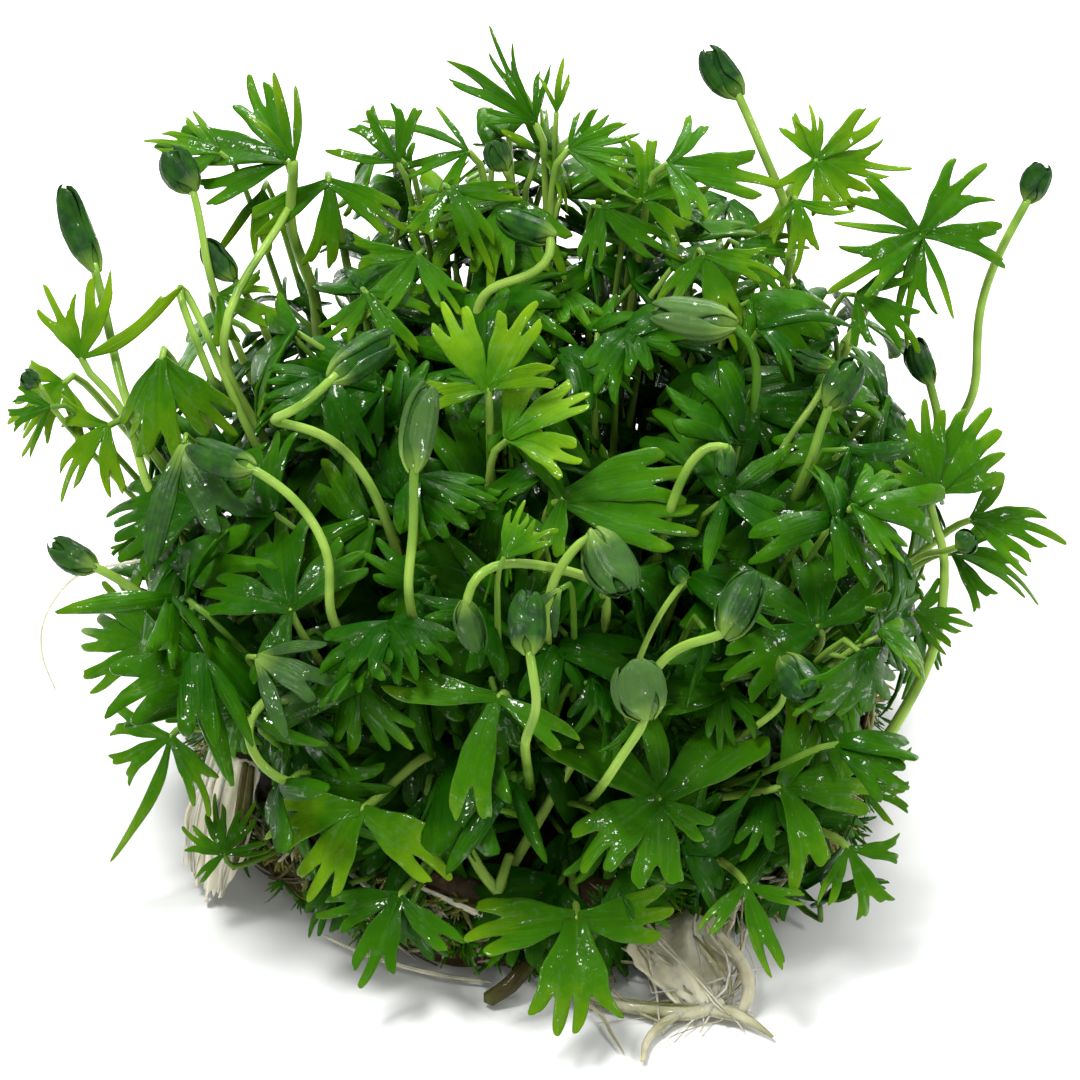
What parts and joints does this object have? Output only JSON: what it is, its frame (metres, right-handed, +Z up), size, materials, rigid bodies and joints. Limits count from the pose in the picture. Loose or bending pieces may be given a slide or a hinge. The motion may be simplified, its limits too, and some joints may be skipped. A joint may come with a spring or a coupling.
{
  "type": "river buttercup clump",
  "caption": "Round clump of a small water plant, with glossy hand-shaped leaves and nodding folded young leaves on pale stalks, standing on its flat pad of roots.",
  "frame": {"origin": "middle of the flat underside of the root pad, on the surface that the clump stands on", "axes": "+Z up out of the clump, +X to the right and -Y towards a viewer who stands where the picture was taken"},
  "size_m": [0.0914, 0.0776, 0.0611],
  "materials": {
    "leaf": "wet glossy leaf, mid green",
    "young_leaf": "wet glossy folded leaf, dark green",
    "inner_leaves": "wet crowded leaves and stalks, green",
    "roots": "pale wet roots",
    "root_pad": "matted roots, brown-green",
    "dead_stalk": "soft dead stalk, brown"
  },
  "bodies": {
    "root": {"root_pad": "root_pad", "leaf_tangle": "inner_leaves", "root_tuft_left": "roots", "root_tuft_right": "roots", "rim_root": "roots", "dead_stalk": "dead_stalk", "leaf_front_low": "leaf", "leaf_front_large": "leaf", "leaf_front_bright": "leaf", "leaf_front_middle": "leaf", "leaf_top_wide": "leaf", "leaf_top_bright": "leaf", "leaf_top_cupped": "leaf", "leaf_left_high": "leaf", "leaf_left_hanging": "leaf", "leaf_left_veil": "leaf", "leaf_left_fan": "leaf", "leaf_back_left_flat": "leaf", "leaf_back_left_upright": "leaf", "leaf_back_left_droop": "leaf", "leaf_back_pointed": "leaf", "leaf_back_left_long": "leaf", "leaf_back_right_long": "leaf", "leaf_back_middle": "leaf", "leaf_back_right_flat": "leaf", "leaf_back_right_star": "leaf", "leaf_right_star": "leaf", "leaf_right_fan": "leaf", "leaf_right_long": "leaf", "leaf_right_low": "leaf", "leaf_left_low": "leaf", "leaf_left_side": "leaf", "leaf_left_dark": "leaf", "leaf_middle_dark": "leaf", "leaf_right_dark": "leaf", "leaf_right_front": "leaf", "leaf_right_edge": "leaf", "leaf_base_right": "leaf", "leaf_base_left": "leaf", "leaf_rear_right": "leaf", "leaf_rear_middle": "leaf", "leaf_rear_left": "leaf", "young_leaf_far_left": "young_leaf", "young_leaf_back_right": "young_leaf", "young_leaf_far_right": "young_leaf", "young_leaf_back_middle": "young_leaf", "young_leaf_grey": "young_leaf", "young_leaf_hairpin": "young_leaf", "young_leaf_long_stalk": "young_leaf", "young_leaf_silver": "young_leaf", "young_leaf_hook": "young_leaf", "young_leaf_broad": "young_leaf", "young_leaf_dark": "young_leaf", "young_leaf_round": "young_leaf", "young_leaf_bent": "young_leaf", "young_leaf_small": "young_leaf", "young_leaf_right_dark": "young_leaf", "young_leaf_right_upper": "young_leaf", "young_leaf_left_dark": "young_leaf", "young_leaf_low_hook": "young_leaf"}
  },
  "joints": []
}
